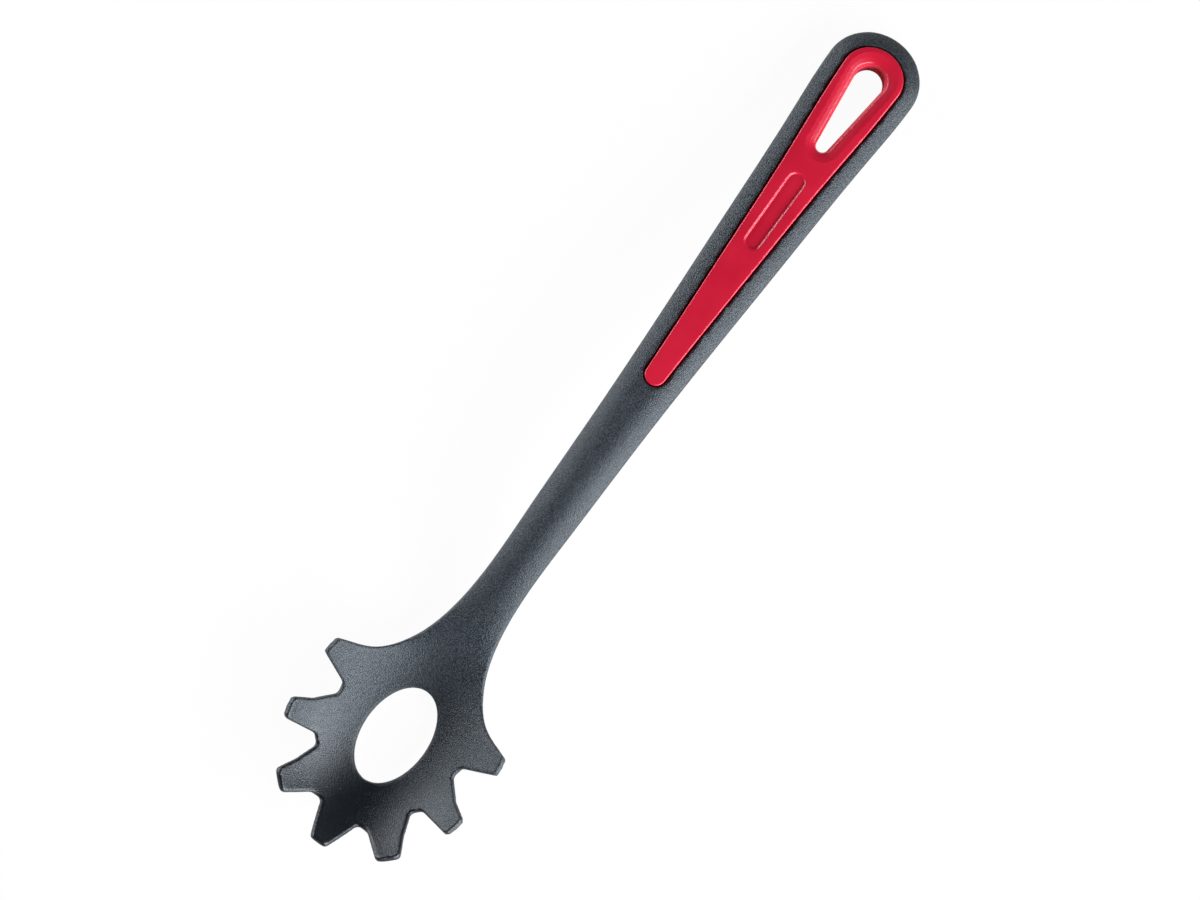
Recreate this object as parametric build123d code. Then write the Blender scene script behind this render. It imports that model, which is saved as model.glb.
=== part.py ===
from build123d import *
import math
import os

# Pasta server, lying on its back with its face up, in millimetres.
# X runs across it, Y along it towards the teeth, Z up towards the face. Stations along the length are
# counted from the handle's end; y_at turns a station into Y.

# Whole tool
overall_length = 295.0
nylon_wall = 2.2

# Handle and shank: widths seen from the front, thicknesses front to back
handle_width = 29.8
handle_thickness = 8.5
handle_end_round = 13.8
waist_width = 14.8
crest_height = 23.0
handle_rise_slope = 0.09
front_crown = 2.6
back_crown = 1.9

# Bowl, measured on its inner face
rim_half_width = 30.85
rim_half_length = 37.44
bowl_depth = 17.0
# Exponent of the rim's outline: 2 is an ellipse, and more is fuller at the corners
rim_fullness = 2.2
flare_overreach = 2.8

# How far before the bowl's middle the shank crests, narrows to its waist, starts to thin and to
# dish, meets the first teeth and is down to the bowl's wall
crest_lead = 96.6
waist_lead = 66.7
thin_lead = 70.7
dish_lead = 48.7
flare_lead = 13.8
wall_lead = 10.8

# Drain hole through the bowl
drain_length = 32.0
drain_width = 20.1
drain_offset = 1.0

# Hanging slot, wide end towards the handle's end
slot_wide_radius = 4.7
slot_narrow_radius = 1.95
slot_wide_station = 14.8
slot_narrow_station = 39.2
slot_rim_round = 2.2

# Grip inlay and the recess that it lies in
inlay_width = 19.4
inlay_start_station = 5.0
inlay_wide_station = 13.9
inlay_end_station = 127.3
inlay_tip_radius = 3.3
inlay_depth = 2.6
inlay_proud = 0.35
inlay_gap = 0.3
inlay_seat_gap = 0.05
inlay_edge_round = 0.45
collar_wall = 2.6
collar_gap = 0.15
collar_back_set = 0.2
peg_radius = 1.5
peg_length = 1.8
peg_gap = 0.1
peg_stations = (58.0, 84.0, 110.0)

# Recessed panel in the inlay: the middles and the radii of its two round ends
panel_start_station = 53.1
panel_end_station = 74.9
panel_start_radius = 2.85
panel_end_radius = 2.6
panel_depth = 0.6

# Rounding of the nylon's edges
tooth_corner_round = 1.5
gap_root_round = 1.4
edge_round = 0.7

# Working sizes of the cutting solids and of the sheets that bound the nylon
tool_reach = 120.0
sheet_margin = 6.0
rim_trim_lead = 1.8
sheet_step = 3.0
sheet_columns = 6
sheet_degree = 3
rim_outline_points = 28
mesh_tolerance = 0.02

# Handle's edge between its widest station and the waist:
# (share of the run, share of the narrowing that is still to come)
TAPER_SHARES = ((0.129, 0.828), (0.336, 0.556), (0.539, 0.308), (0.740, 0.115), (0.94, 0.007))

# Edge from the waist out to the first tooth: (share of the run, share of the spread)
FLARE_SHARES = (
    (0.37, 0.017), (0.542, 0.077), (0.713, 0.196), (0.826, 0.335),
    (0.936, 0.578), (0.983, 0.887),
)

# Inlay's edge between its widest station and its tip:
# (share of the run, share of the narrowing that is still to come)
INLAY_SHARES = ((0.21, 0.775), (0.319, 0.620), (0.540, 0.403), (0.756, 0.200))

# Gaps between the teeth on the +X side, on the inner face, as shares of the rim's two half sizes:
# first flank from outside to root, then second flank from root to outside
GAP_SHARES = (
    ((0.987, -0.224), (0.688, -0.083), (0.667, 0.013), (0.820, 0.140), (0.977, 0.205)),
    ((0.919, 0.373), (0.626, 0.364), (0.545, 0.432), (0.620, 0.595), (0.724, 0.747)),
    ((0.528, 0.846), (0.325, 0.741), (0.212, 0.741), (0.095, 0.979)),
)
gap_overrun_share = 0.35
sheet_overhang_share = 0.18

# Share of the bowl's depth that comes as a steeper curl towards the rim
curl_share = 0.15

# The bowl's middle lies where the rim's outer edge just reaches the overall length
rim_lean = math.atan2(bowl_depth, rim_half_length / 2)
bowl_station = overall_length - nylon_wall * math.sin(rim_lean) - rim_half_length
crest_station = bowl_station - crest_lead
waist_station = bowl_station - waist_lead
thin_start_station = bowl_station - thin_lead
dish_start_station = bowl_station - dish_lead
flare_station = bowl_station - flare_lead
wall_start_station = bowl_station - wall_lead
flare_end_half_width = rim_half_width + flare_overreach

# The face and the back curl towards each other over this distance from the nylon's edge
crown_reach = waist_width / 2


def y_at(station):
    return station - overall_length / 2


def smooth(share):
    share = min(max(share, 0), 1)
    return share * share * (3 - 2 * share)


def through(points, at):
    """Height at a place of the smooth line through the points, each a (place, height)."""
    slopes = []
    for i in range(len(points)):
        low, high = points[max(i - 1, 0)], points[min(i + 1, len(points) - 1)]
        slopes.append((high[1] - low[1]) / (high[0] - low[0]))
    at = min(max(at, points[0][0]), points[-1][0])
    i = max(k for k in range(len(points) - 1) if points[k][0] <= at)
    run = points[i + 1][0] - points[i][0]
    t = (at - points[i][0]) / run
    rise = points[i + 1][1] - points[i][1]
    start, end = slopes[i] * run, slopes[i + 1] * run
    return points[i][1] + start * t + (3 * rise - 2 * start - end) * t**2 + (start + end - 2 * rise) * t**3


def edge_points():
    """(station, half width) along the edge of the nylon, from the widest handle station to the first tooth."""
    wide, waist = handle_width / 2, waist_width / 2
    taper, spread = waist_station - handle_end_round, flare_station - waist_station
    points = [(handle_end_round, wide)]
    points += [(handle_end_round + a * taper, waist + b * (wide - waist)) for a, b in TAPER_SHARES]
    points += [(waist_station + a * spread, waist + b * (rim_half_width - waist)) for a, b in FLARE_SHARES]
    return points + [(flare_station, flare_end_half_width)]


EDGE = edge_points()


def half_width(station):
    return through(EDGE, station)


def spine_height(station):
    """Height of the face along the middle of the tool, up to the middle of the bowl."""
    if station < crest_station:
        t = station / crest_station
        rise = crest_height - handle_thickness
        start = handle_rise_slope * crest_station
        return handle_thickness + start * t + (3 * rise - 2 * start) * t**2 + (start - 2 * rise) * t**3
    fall = smooth((station - crest_station) / (bowl_station - crest_station))
    return crest_height + (nylon_wall - crest_height) * fall


def dish(across, along):
    """Height of the bowl's inner face over its middle, for shares of the rim's half sizes."""
    reach = across**2 + along**2
    return bowl_depth * ((1 - curl_share) * reach + curl_share * reach**2)


def bare_height(x, station):
    """Height of the face before it is crowned, dished in the bowl."""
    dished = smooth((station - dish_start_station) / (flare_station - dish_start_station))
    beyond = max(station - bowl_station, 0) / rim_half_length
    return spine_height(station) + dished * dish(x / rim_half_width, beyond)


def thinned(station):
    """0 where the tool has its full thickness and 1 where it is down to the bowl's wall."""
    return smooth((station - thin_start_station) / (wall_start_station - thin_start_station))


def crown(x, station):
    """Share of the crown at a place: 1 at the handle's and shank's edge, 0 inside and in the bowl."""
    wide = half_width(station)
    endward = max(handle_end_round - station, 0) / handle_end_round
    inset = wide * (1 - math.hypot(x / wide, endward))
    return (1 - thinned(station)) * max(1 - inset / crown_reach, 0) ** 2


def face_height(x, station):
    return bare_height(x, station) - front_crown * crown(x, station)


def face_normal(x, station):
    """Direction square to the face, leaving its crown aside."""
    step = nylon_wall
    along = bare_height(x, station + step) - bare_height(x, station - step)
    across = bare_height(x + step, station) - bare_height(x - step, station)
    return Vector(-across, -along, 2 * step).normalized()


def back_height(x, station):
    """Height of the back, a full thickness under the handle's face and a wall under the bowl's."""
    depth = handle_thickness + (nylon_wall - handle_thickness) * thinned(station)
    under = depth / face_normal(x, station).Z
    return bare_height(x, station) - under + back_crown * crown(x, station)


def sheet(height):
    """A smooth sheet through the heights, a little wider and longer than the nylon."""
    count = math.ceil((overall_length + 2 * sheet_margin) / sheet_step)
    rows = []
    for i in range(count + 1):
        station = -sheet_margin + (overall_length + 2 * sheet_margin) * i / count
        reach = half_width(station) * (1 + sheet_overhang_share)
        columns = [reach * k / sheet_columns for k in range(-sheet_columns, sheet_columns + 1)]
        rows.append([Vector(x, y_at(station), height(x, station)) for x in columns])
    return Face.make_surface_from_array_of_points(rows, min_deg=sheet_degree)


def above(face, drop=0):
    return extrude(Pos(0, 0, -drop) * face, amount=tool_reach, dir=(0, 0, 1))


def below(face, lift=0):
    return extrude(Pos(0, 0, lift) * face, amount=tool_reach, dir=(0, 0, -1))


def column(outline):
    """The outline as a tall upright column through the tool."""
    return extrude(Pos(0, 0, -tool_reach) * outline, amount=2 * tool_reach)


def nylon_outline():
    """Front view of the handle, the shank and the flare, left open wide round the teeth."""
    right = [(w, y_at(s)) for s, w in EDGE]
    edge = Spline(*right, tangents=((0, 1), (1, 0)))
    end = EllipticalCenterArc(
        (0, right[0][1]), handle_width / 2, handle_end_round, start_angle=180, arc_size=180
    )
    corner = right[-1]
    far = y_at(overall_length) + sheet_margin / 2
    box = Polyline(corner, (corner[0], far), (-corner[0], far), (-corner[0], corner[1]))
    return make_face([edge, box, mirror(edge, Plane.YZ), end])


def rim_outline(height, grow):
    """Front view of the rim, a little fuller than an ellipse, at a height and grown all round."""
    points = []
    for i in range(rim_outline_points):
        turn = 2 * math.pi * i / rim_outline_points
        across = abs(math.cos(turn)) / (rim_half_width + grow)
        along = abs(math.sin(turn)) / (rim_half_length + grow)
        reach = (across**rim_fullness + along**rim_fullness) ** (-1 / rim_fullness)
        points.append((reach * math.cos(turn), reach * math.sin(turn)))
    return Pos(0, y_at(bowl_station), height) * make_face(Spline(*points, periodic=True))


def rim_trim():
    """What lies outside the rim, whose edge is square to the bowl's wall."""
    rim_height = nylon_wall + bowl_depth
    flare_out = (2 * (1 - curl_share) + 4 * curl_share) * bowl_depth / rim_half_width
    rise, fall = bowl_depth / 2, rim_height + nylon_wall
    top, foot = [rim_outline(rim_height + lift, -lift * flare_out) for lift in (rise, -fall)]
    size = 2 * flare_end_half_width + 2 * sheet_margin
    start = Pos(0, y_at(flare_station - rim_trim_lead), rim_height - fall)
    block = start * Box(size, size, tool_reach, align=(Align.CENTER, Align.MIN, Align.MIN))
    return block - loft([foot, top])


def gap_tool(shares):
    """The cutter of one gap between two teeth, square to the bowl's wall at the gap's root."""
    places = [(a * rim_half_width, bowl_station + b * rim_half_length) for a, b in shares]
    root = ((places[1][0] + places[2][0]) / 2, (places[1][1] + places[2][1]) / 2)
    plane = Plane(
        origin=(root[0], y_at(root[1]), face_height(*root)),
        x_dir=(1, 0, 0),
        z_dir=face_normal(*root),
    )
    flat = []
    for x, station in places:
        local = plane.to_local_coords(Vector(x, y_at(station), face_height(x, station)))
        flat.append(Vector(local.X, local.Y))
    grow = 1 + gap_overrun_share
    flat[0] = flat[1] + (flat[0] - flat[1]) * grow
    flat[-1] = flat[-2] + (flat[-1] - flat[-2]) * grow
    outline = make_face(Polyline(*flat, close=True))
    roots = [outline.vertices().sort_by_distance(corner)[0] for corner in flat[1:-1]]
    outline = fillet(roots, gap_root_round)
    return extrude(plane * outline, amount=bowl_depth / 2, both=True)


def hull_of(start_radius, start_station, end_radius, end_station):
    """Outline round two circles on the middle line, centred on the first one's station."""
    start = Circle(start_radius)
    end = Pos(0, end_station - start_station) * Circle(end_radius)
    return make_hull(start.edges() + end.edges())


def slot_outline(grow=0):
    return hull_of(
        slot_wide_radius + grow, slot_wide_station, slot_narrow_radius + grow, slot_narrow_station
    )


def slot_plane(depth=0):
    """Plane across the hanging slot, square to the handle's face, below it by the depth."""
    middle = (slot_wide_station + slot_narrow_station) / 2
    normal = face_normal(0, middle)
    drop = (middle - slot_wide_station) * normal.Y / normal.Z
    height = face_height(0, middle) + drop
    origin = Vector(0, y_at(slot_wide_station), height) - normal * depth
    return Plane(origin=origin, x_dir=(1, 0, 0), z_dir=normal)


def slot_tool(grow=0):
    return extrude(slot_plane() * slot_outline(grow), amount=2 * handle_thickness, both=True)


def slot_funnel():
    """What rounds the slot's mouth: a quarter circle in two straight steps, run on past the face."""
    bow = slot_rim_round * (1 - math.sqrt(0.5))
    steps = ((0, slot_rim_round), (bow, bow), (slot_rim_round, 0), (2 * slot_rim_round, -bow))
    return loft([slot_plane(depth) * slot_outline(grow) for grow, depth in steps], ruled=True)


def inlay_outline(grow=0):
    """Front view of the inlay, from its wide round end to its narrow tip."""
    wide, tip = inlay_width / 2 + grow, inlay_tip_radius + grow
    tip_station = inlay_end_station - inlay_tip_radius
    run = tip_station - inlay_wide_station
    right = [(wide, y_at(inlay_wide_station))]
    right += [(tip + b * (wide - tip), y_at(inlay_wide_station + a * run)) for a, b in INLAY_SHARES]
    right += [(tip, y_at(tip_station))]
    side = Spline(*right)
    nose = ThreePointArc(right[-1], (0, y_at(tip_station) + tip), (-tip, y_at(tip_station)))
    end_reach = inlay_wide_station - inlay_start_station + grow
    end = EllipticalCenterArc((0, right[0][1]), wide, end_reach, start_angle=180, arc_size=180)
    return make_face([side, nose, mirror(side, Plane.YZ), end])


def panel_outline():
    panel = hull_of(panel_start_radius, panel_start_station, panel_end_radius, panel_end_station)
    return Pos(0, y_at(panel_start_station)) * panel


def peg(station, gap=0):
    """A locating peg of the inlay, or with a gap the socket that takes it."""
    floor = face_height(0, station) - inlay_depth
    foot = floor - peg_length - gap
    return Pos(0, y_at(station), foot) * Cylinder(
        peg_radius + gap, floor - foot + peg_radius, align=(Align.CENTER, Align.CENTER, Align.MIN)
    )


def nylon_blank(face, back):
    """The nylon with its teeth and its drain hole, before the inlay's recess is cut."""
    blank = column(nylon_outline()) - rim_trim()
    for shares in GAP_SHARES:
        gap = gap_tool(shares)
        blank = blank - gap - mirror(gap, Plane.YZ)
    hole = Pos(0, y_at(bowl_station + drain_offset)) * Ellipse(drain_width / 2, drain_length / 2)
    blank -= column(hole)
    return (blank & below(face) & above(back)).solids()[0]


def sheet_faces(solid):
    """The solid's back and front, which are its two largest faces."""
    largest = solid.faces().sort_by(SortBy.AREA)[-2:]
    return sorted(largest, key=lambda side: side.bounding_box().min.Z)


def rounded(blank):
    """The blank with the corners of its teeth and the edges of its back rounded."""
    sheets = [edge for side in sheet_faces(blank) for edge in side.edges()]
    corners = []
    for end in blank.faces().filter_by(GeomType.BSPLINE):
        if end.area > handle_width**2:
            continue
        corners += [e for e in end.edges() if not any(e.is_same(other) for other in sheets)]
    blank = blank.fillet(tooth_corner_round, corners)
    return blank.fillet(edge_round, sheet_faces(blank)[0].outer_wire().edges())


def server_body(face, back):
    body = rounded(nylon_blank(face, back))
    recess = column(inlay_outline(inlay_gap)) & above(face, inlay_depth)
    body = body - recess - slot_tool(collar_wall + collar_gap)
    for station in peg_stations:
        body -= peg(station, peg_gap)
    return body


def grip_inlay(face, back):
    plate = column(inlay_outline()) & above(face, inlay_depth - inlay_seat_gap) & below(face, inlay_proud)
    plate = plate.solids()[0].fillet(inlay_edge_round, sheet_faces(plate)[1].outer_wire().edges())
    collar = slot_tool(collar_wall) & below(face) & above(back, -collar_back_set)
    inlay = plate + collar
    for station in peg_stations:
        inlay += peg(station)
    inlay -= column(panel_outline()) & above(face, panel_depth - inlay_proud)
    return inlay - slot_tool() - slot_funnel()


def main():
    face, back = sheet(face_height), sheet(back_height)
    os.makedirs("parts", exist_ok=True)
    parts = {"server_body": server_body(face, back), "grip_inlay": grip_inlay(face, back)}
    mesh_points, _ = parts["server_body"].tessellate(mesh_tolerance)
    rest = min(point.Z for point in mesh_points)
    for name, shape in parts.items():
        shape = Pos(0, 0, -rest) * shape
        export_step(shape, f"parts/{name}.step")
        print(name, len(shape.solids()), "solid", shape.bounding_box())


if __name__ == "__main__":
    main()
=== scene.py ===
# %% [markdown]
# A pasta server lies on its back on a pale table: a toothed nylon bowl, a long arched shank and a wide
# handle with a red grip inlay. The construction model comes in first and stays as it is. It fixes every
# size and place, and the pieces made here only give it soft edges and a finish.

# %% Load the construction model
import math

import bmesh
import bpy
from mathutils import Matrix, Vector
from mathutils.kdtree import KDTree


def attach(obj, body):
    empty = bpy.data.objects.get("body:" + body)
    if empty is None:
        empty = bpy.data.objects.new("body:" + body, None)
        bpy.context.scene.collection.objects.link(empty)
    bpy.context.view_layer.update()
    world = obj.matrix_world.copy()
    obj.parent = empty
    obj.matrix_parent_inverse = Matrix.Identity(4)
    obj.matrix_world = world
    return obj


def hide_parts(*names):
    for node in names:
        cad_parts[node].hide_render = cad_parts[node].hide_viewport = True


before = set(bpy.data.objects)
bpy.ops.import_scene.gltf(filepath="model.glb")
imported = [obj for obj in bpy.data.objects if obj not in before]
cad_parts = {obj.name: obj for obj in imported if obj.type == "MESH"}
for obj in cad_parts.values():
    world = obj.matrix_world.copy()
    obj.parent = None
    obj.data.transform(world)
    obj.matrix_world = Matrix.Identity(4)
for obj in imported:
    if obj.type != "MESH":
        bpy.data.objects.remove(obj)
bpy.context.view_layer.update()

# %% [markdown]
# Blender's lengths are metres here, so a millimetre gets a name. The photograph looks straight down on
# the server, which is turned in the picture so that the handle's end points to the top right. With the
# picture's own directions, the camera can be placed as one would in front of the picture.

# %% Directions in the picture
mm = 0.001
picture_right = Vector((-0.8096, -0.5869, 0)).normalized()
picture_up = Vector((0.5869, -0.8096, 0)).normalized()
up = Vector((0, 0, 1))
picture_centre = Vector((0.66 * mm, 4.1 * mm, 0))


def place(right, above, height):
    """A point given by how far it is to the right and up in the picture, and over the table."""
    return picture_centre + picture_right * right + picture_up * above + up * height


def aim(thing, spot, top):
    """Turns a lamp or a camera to look at the spot, with its top edge towards top."""
    back = (thing.location - spot).normalized()
    right = top.cross(back).normalized()
    thing.rotation_euler = Matrix((right, back.cross(right), back)).transposed().to_euler()


print("the picture's centre is", tuple(picture_centre))

# %% [markdown]
# The camera is a photographer's long lens some way above the table. The lens and the height together
# give the picture's scale, and the long lens keeps the bowl's teeth from leaning outwards much. The
# camera leans by one degree, because the middle of the raised shank stands a little to one side in the
# photograph. Blender gives a lens and its sensor in millimetres, whatever the scene's unit is.

# %% Camera
camera_height = 0.9
camera_lean = math.radians(1.0)
lens = 89.55
sensor_width = 36

camera_data = bpy.data.cameras.new("camera")
camera_data.sensor_width = sensor_width
camera_data.lens = lens
camera = bpy.data.objects.new("camera", camera_data)
bpy.context.scene.collection.objects.link(camera)
camera.location = place(0, 0, camera_height) - Vector((math.tan(camera_lean) * camera_height, 0, 0))
aim(camera, place(0, 0, 0), picture_up)
bpy.context.scene.camera = camera
print("camera at", tuple(round(x, 4) for x in camera.location))

# %% [markdown]
# A finish is a set of nodes, and its maths reads best as plain sums. This small class wraps a socket, so
# that an expression such as 1 - mask adds the Math node itself. A soft step from 0 to 1 is used several
# times, so it has a name too.

# %% A value of a finish


class Value:
    """One output socket of a finish, usable in sums."""

    def __init__(self, finish, socket):
        self.finish = finish
        self.socket = socket

    def math(self, operation, first, second):
        return self.finish.node("ShaderNodeMath", {"operation": operation}, {0: first, 1: second})

    def __add__(self, other):
        return self.math("ADD", self, other)

    def __mul__(self, other):
        return self.math("MULTIPLY", self, other)

    def __sub__(self, other):
        return self.math("SUBTRACT", self, other)

    def __rsub__(self, other):
        return self.math("SUBTRACT", other, self)

    __radd__ = __add__
    __rmul__ = __mul__

    def between(self, low, high):
        """0 below low, 1 above high and smooth in between."""
        settings = {"interpolation_type": "SMOOTHSTEP"}
        return self.finish.node("ShaderNodeMapRange", settings, {0: self, 1: low, 2: high})


# %% [markdown]
# The finish itself is a material with one Principled shader. Constants go straight onto the shader's
# sockets, and every node comes from one method, which takes the node's type, its settings and what goes
# into its sockets. The patterns read Object coordinates, so they stay where they are on the piece.

# %% A finish


class Finish:
    """A material with one Principled shader."""

    def __init__(self, name, **constants):
        self.material = bpy.data.materials.new(name)
        self.material.use_nodes = True
        self.tree = self.material.node_tree
        self.shader = self.tree.nodes["Principled BSDF"]
        self.set(**constants)

    def feed(self, socket, value):
        if isinstance(value, Value):
            self.tree.links.new(value.socket, socket)
        else:
            socket.default_value = value

    def set(self, **values):
        """Feeds the shader's sockets, with an underscore for each blank in a socket's name."""
        for socket, value in values.items():
            self.feed(self.shader.inputs[socket.replace("_", " ")], value)

    def node(self, kind, settings, inputs, output=0):
        made = self.tree.nodes.new(kind)
        for name, value in settings.items():
            setattr(made, name, value)
        for socket, value in inputs.items():
            self.feed(made.inputs[socket], value)
        return Value(self, made.outputs[output])

    def position(self):
        return self.node("ShaderNodeTexCoord", {}, {}, "Object")

    def axis(self, name):
        """How far a point of the piece is along X, Y or Z."""
        return self.node("ShaderNodeSeparateXYZ", {}, {0: self.position()}, name)

    def noise(self, size, detail=2, roughness=0.5):
        """Cloudy noise whose blotches are about the size given."""
        inputs = {"Vector": self.position(), "Scale": 1 / size, "Detail": detail, "Roughness": roughness}
        return self.node("ShaderNodeTexNoise", {}, inputs, "Fac")

    def mix(self, share, first, second):
        """The first colour where share is 0 and the second where it is 1."""
        factor, colour_a, colour_b, mixed_colour = 0, 6, 7, 2
        inputs = {factor: share, colour_a: first, colour_b: second}
        return self.node("ShaderNodeMix", {"data_type": "RGBA"}, inputs, mixed_colour)

    def bump(self, height, distance, strength):
        inputs = {"Height": height, "Distance": distance, "Strength": strength}
        return self.node("ShaderNodeBump", {}, inputs)


# %% [markdown]
# The body is nylon, moulded in a tool with a finely pitted wall, so that its skin is speckled all over
# and sparkles where light grazes it. A picture of the skin could be laid over the piece, but it would
# need a file and a seam. A noise much finer than a millimetre has neither. It mixes near-black with a
# dark blue grey and lifts the skin by a fraction of a millimetre. The bowl's front is smoother in the
# photograph, so the speckle fades towards the teeth, and a wide blotchy noise keeps the gloss uneven.

# %% Charcoal nylon
nylon_dark = (0.004, 0.005, 0.007, 1)
nylon_light = (0.044, 0.052, 0.060, 1)
speckle_size = 0.38 * mm
speckle_height = 0.25 * mm
speckle_strength = 1
speckle_crispness = 0.6
speckle_start = 0.40
speckle_end = 0.64
blotch_size = 9 * mm
smooth_from = 100 * mm
smooth_to = 135 * mm
smooth_colour_share = 0.9
smooth_bump_share = 0.5
nylon_roughness = 0.41
smooth_gloss = 0.09
blotch_gloss = 0.10
noise_middle = 0.5

nylon = Finish("charcoal_nylon", Specular_IOR_Level=0.5)
speckle = nylon.noise(speckle_size, roughness=speckle_crispness)
blotch = nylon.noise(blotch_size)
smooth_head = nylon.axis("Y").between(smooth_from, smooth_to)
grain = speckle.between(speckle_start, speckle_end) * (1 - smooth_head * smooth_colour_share)
nylon.set(
    Base_Color=nylon.mix(grain, nylon_dark, nylon_light),
    Roughness=nylon_roughness - smooth_head * smooth_gloss + (blotch - noise_middle) * blotch_gloss,
    Normal=nylon.bump(speckle * (1 - smooth_head * smooth_bump_share), speckle_height, speckle_strength),
)
print(nylon.material.name, "has", len(nylon.tree.nodes), "nodes")

# %% [markdown]
# The inlay is a softer plastic in red with a satin skin. One flat colour would do, but a wide and very
# faint cloud of two reds and a fine unevenness of the skin keep it from looking like paint. The collar's
# wall inside the hanging slot is low on the piece, so its height marks it. It is rougher, because a
# smooth wall seen at a glancing angle would mirror the pale table, and the photograph's is deep red.

# %% Red inlay
red_deep = (0.50, 0.007, 0.026, 1)
red_bright = (0.56, 0.010, 0.032, 1)
cloud_size = 14 * mm
cloud_start = 0.3
cloud_end = 0.7
skin_size = 0.5 * mm
skin_height = 0.01 * mm
skin_strength = 0.5
wall_top = 5.5 * mm
face_bottom = 8.5 * mm
red_roughness = 0.30
wall_extra_roughness = 0.6
skin_gloss = 0.1

red = Finish("red_inlay", Specular_IOR_Level=0.4)
cloud = red.noise(cloud_size).between(cloud_start, cloud_end)
skin = red.noise(skin_size)
collar_wall = 1 - red.axis("Z").between(wall_top, face_bottom)
red.set(
    Base_Color=red.mix(cloud, red_deep, red_bright),
    Roughness=red_roughness + collar_wall * wall_extra_roughness + (skin - noise_middle) * skin_gloss,
    Normal=red.bump(skin, skin_height, skin_strength),
)
print(red.material.name, "has", len(red.tree.nodes), "nodes")

# %% [markdown]
# A moulded part has no knife-sharp edge, and the construction model's edges are sharp where no rounding
# held. A bevel works best between clean faces, and the model's mesh has many thin triangles. So each
# piece is a copy of its node whose triangles are joined and then cast anew as an even net of small
# cells, and only the points near a sharp edge are eased. First come the helpers for the copy.

# %% A joined copy of a node
join_distance = 0.002 * mm


def only(thing):
    """Selects one thing and nothing else, because an operator acts on all that is selected."""
    bpy.ops.object.select_all(action="DESELECT")
    thing.select_set(True)
    bpy.context.view_layer.objects.active = thing


def joined_copy(source, name):
    """A copy of a node whose loose triangles share their corners."""
    piece = source.copy()
    piece.data = source.data.copy()
    piece.parent = None
    piece.name = name
    bpy.context.scene.collection.objects.link(piece)
    only(piece)
    bpy.ops.object.mode_set(mode="EDIT")
    bpy.ops.mesh.select_all(action="SELECT")
    bpy.ops.mesh.remove_doubles(threshold=join_distance)
    bpy.ops.object.mode_set(mode="OBJECT")
    bpy.ops.mesh.customdata_custom_splitnormals_clear()
    return piece


def shape(piece, kind, **settings):
    """Gives the piece a modifier with these settings and applies it."""
    modifier = piece.modifiers.new(kind.lower(), kind)
    for name, value in settings.items():
        setattr(modifier, name, value)
    bpy.ops.object.modifier_apply(modifier=modifier.name)


# %% [markdown]
# The sharp edges are found before the new net is cast: an edge is sharp where its two faces turn by more
# than the angle named here. Points along these edges go into a search tree, which then tells for each
# point of the new net how far the nearest sharp edge is. Two vertex groups keep the answer: edges is 1
# beside a sharp edge and fades out, and flats is what is left.

# %% Sharp edges and what lies near them
sharp_angle = math.radians(24)
fade_end = 1.5


def sharp_points(thing, step):
    """A search tree of points along the sharp edges, and how many there are."""
    mesh = bmesh.new()
    mesh.from_mesh(thing.data)
    points = []
    for edge in mesh.edges:
        if len(edge.link_faces) != 2 or edge.calc_face_angle() > sharp_angle:
            start, end = (vertex.co for vertex in edge.verts)
            count = max(1, math.ceil((end - start).length / step))
            points += [start.lerp(end, i / count) for i in range(count + 1)]
    mesh.free()
    tree = KDTree(len(points))
    for i, point in enumerate(points):
        tree.insert(point, i)
    tree.balance()
    return tree, len(points)


def edges_and_flats(piece, sharp, ease):
    """Vertex groups for what is near a sharp edge, full within half the ease, and for the rest."""
    edges = piece.vertex_groups.new(name="edges")
    flats = piece.vertex_groups.new(name="flats")
    for vertex in piece.data.vertices:
        distance = sharp.find(vertex.co)[2]
        near = min(max(fade_end - distance / ease, 0), 1)
        if near > 0:
            edges.add([vertex.index], near, "REPLACE")
        if near < 1:
            flats.add([vertex.index], 1 - near, "REPLACE")
    return edges.name, flats.name


# %% [markdown]
# The new net has faint steps, which a satin finish would show as ripples. So the softened copy takes the
# node's own smooth normals on its flats, and keeps those of its net where the edges were eased.

# %% A softened copy of a node
smooth_factor = 0.5


def softened(node, name, cell, ease, rounds, finish):
    """A node's softened copy, with the finish, in the node's place and on the same body."""
    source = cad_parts[node]
    piece = joined_copy(source, name)
    sharp, count = sharp_points(piece, cell)
    shape(piece, "REMESH", mode="VOXEL", voxel_size=cell, use_smooth_shade=True)
    edges, flats = edges_and_flats(piece, sharp, ease)
    shape(piece, "SMOOTH", factor=smooth_factor, iterations=rounds, vertex_group=edges)
    shape(
        piece,
        "DATA_TRANSFER",
        object=source,
        use_loop_data=True,
        data_types_loops={"CUSTOM_NORMAL"},
        loop_mapping="POLYINTERP_NEAREST",
        vertex_group=flats,
    )
    piece.data.materials.clear()
    piece.data.materials.append(finish.material)
    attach(piece, "root")
    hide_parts(node)
    triangles = sum(len(face.vertices) - 2 for face in piece.data.polygons)
    print(name, count, "sharp points,", triangles, "triangles")
    return piece


# %% [markdown]
# The server's body is one moulding: the bowl with its teeth and its drain hole, the neck, the shank and
# the handle with the recess for the inlay. The edges of the teeth and of the bowl's rim catch the light,
# so this piece's edges are eased further than the inlay's. Cells of half a millimetre keep the skin even
# and the piece under 200,000 triangles.

# %% Nylon server
server = softened("server_body", "nylon_server", cell=0.5 * mm, ease=1.2 * mm, rounds=10, finish=nylon)

# %% [markdown]
# The grip inlay is the second moulding: a tapered plate in the handle's recess, with a collar that lines
# the hanging slot and a small sunk panel with round ends. It is made in the same way, with smaller cells
# and less easing, because the panel's step is low and would melt away.

# %% Red grip inlay
inlay = softened("grip_inlay", "red_grip_inlay", cell=0.32 * mm, ease=0.5 * mm, rounds=3, finish=red)

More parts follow.
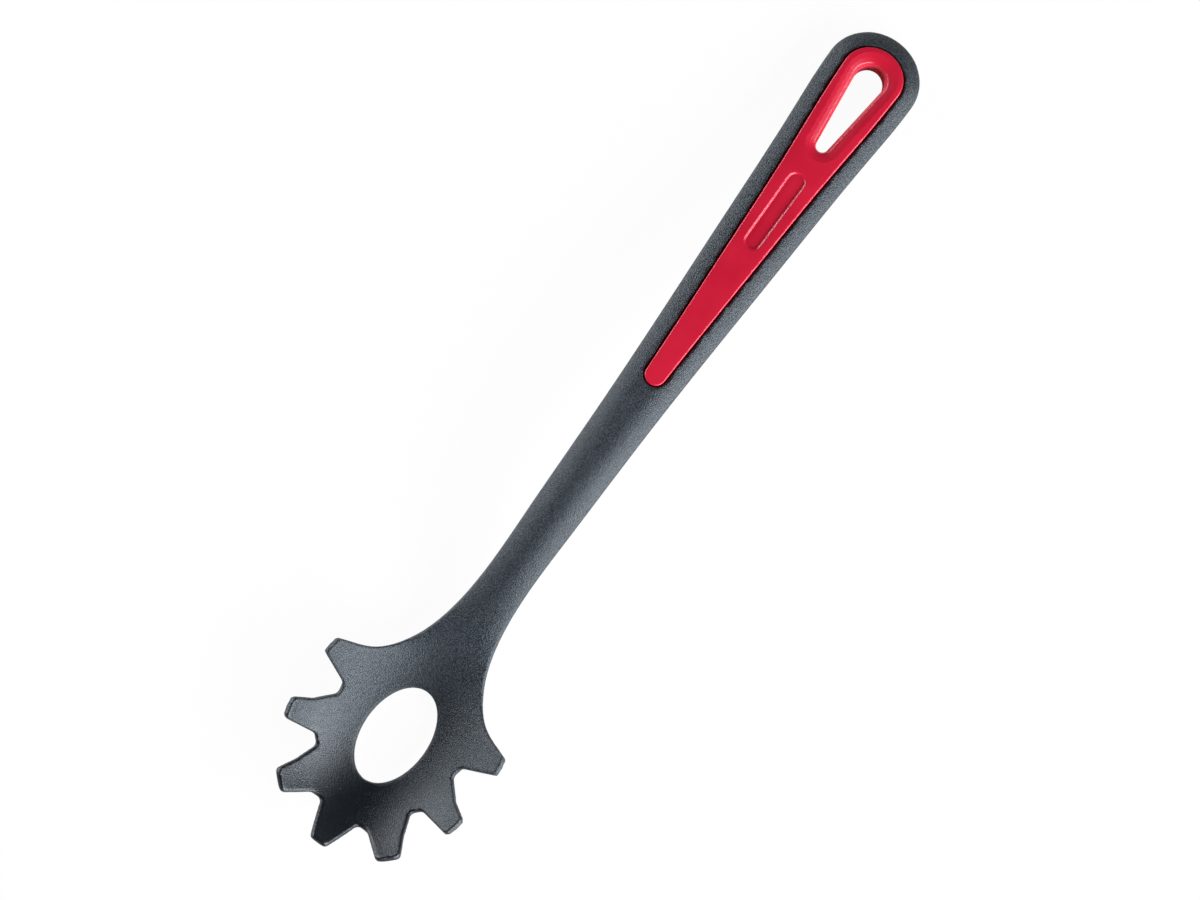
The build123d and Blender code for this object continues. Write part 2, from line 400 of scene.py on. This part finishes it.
# %% [markdown]
# The table is a wide pale sheet. Its paper takes the lamps' light as any sheet does, which gives the
# server its soft shadow. The rays that come from the camera, or from something glossy or clear, see the
# sheet mostly as glowing white instead, as the photograph's background is. So the background gets white
# without stronger lamps.

# %% Table
table_size = 6
paper_colour = (0.88, 0.81, 0.75, 1)
white = (1, 1, 1, 1)
glow_strength = 1.0
glow_share = 0.95

bpy.ops.object.select_all(action="DESELECT")
bpy.ops.mesh.primitive_plane_add(size=table_size, location=(0, 0, 0))
table = bpy.context.object
table.name = "table"

paper = Finish("table_paper", Base_Color=paper_colour, Roughness=0.8)
table.data.materials.append(paper.material)


def ray(kind):
    """1 for the rays of this kind and 0 for all others."""
    return paper.node("ShaderNodeLightPath", {}, {}, kind)


seen = ray("Is Camera Ray") + ray("Is Glossy Ray") + ray("Is Transmission Ray")
glow = paper.node("ShaderNodeEmission", {}, {"Color": white, "Strength": glow_strength})
sheet = Value(paper, paper.shader.outputs[0])
blend = paper.node("ShaderNodeMixShader", {}, {0: seen * glow_share, 1: sheet, 2: glow})
paper.feed(paper.tree.nodes["Material Output"].inputs["Surface"], blend)
print(table.name, "is", table_size, "m wide,", len(paper.tree.nodes), "nodes")

# %% [markdown]
# A room is never quite black between the lamps. A faint, slightly blue light from all round stands for
# its walls and fills the deepest shadows.

# %% Room light
room_colour = (0.8, 0.86, 1.0, 1)
room_strength = 0.06

world = bpy.data.worlds.new("studio")
world.use_nodes = True
room = world.node_tree.nodes["Background"]
room.inputs["Color"].default_value = room_colour
room.inputs["Strength"].default_value = room_strength
bpy.context.scene.world = world
print("room light", room_strength)

# %% [markdown]
# Two long softboxes stand low beside the server, along its whole length. The stronger one is at its
# lower right in the picture, where the shank is bright along its edge, and nothing shines from
# overhead, so the middle of the shank stays dark. Each is given by the light that it throws on the
# server, and the lamp's power follows from that and from its distance.

# %% Softboxes
lamp_colour = (0.84, 0.92, 1.0)
lamp_aim_height = 0.01


def softbox(name, across, along, height, width, length, light):
    """A softbox beside the server. A light of pi makes white paper that faces the lamp full white."""
    data = bpy.data.lights.new(name, "AREA")
    data.shape = "RECTANGLE"
    data.size = width
    data.size_y = length
    data.energy = light * math.pi * (across**2 + along**2 + height**2)
    data.color = lamp_colour
    lamp = bpy.data.objects.new(name, data)
    bpy.context.scene.collection.objects.link(lamp)
    lamp.location = (across, along, height)
    aim(lamp, Vector((0, along / 2, lamp_aim_height)), Vector((0, 1, 0)))
    print(name, tuple(round(x, 3) for x in lamp.location), round(data.energy, 2), "W")


softbox("right_softbox", across=-0.6, along=0.06, height=0.27, width=0.34, length=1.0, light=11.8)
softbox("left_softbox", across=0.6, along=0.02, height=0.16, width=0.24, length=0.9, light=6)

# %% [markdown]
# The Standard view shows each colour about as it is written.

# %% Colours and the end
bpy.context.scene.view_settings.view_transform = "Standard"
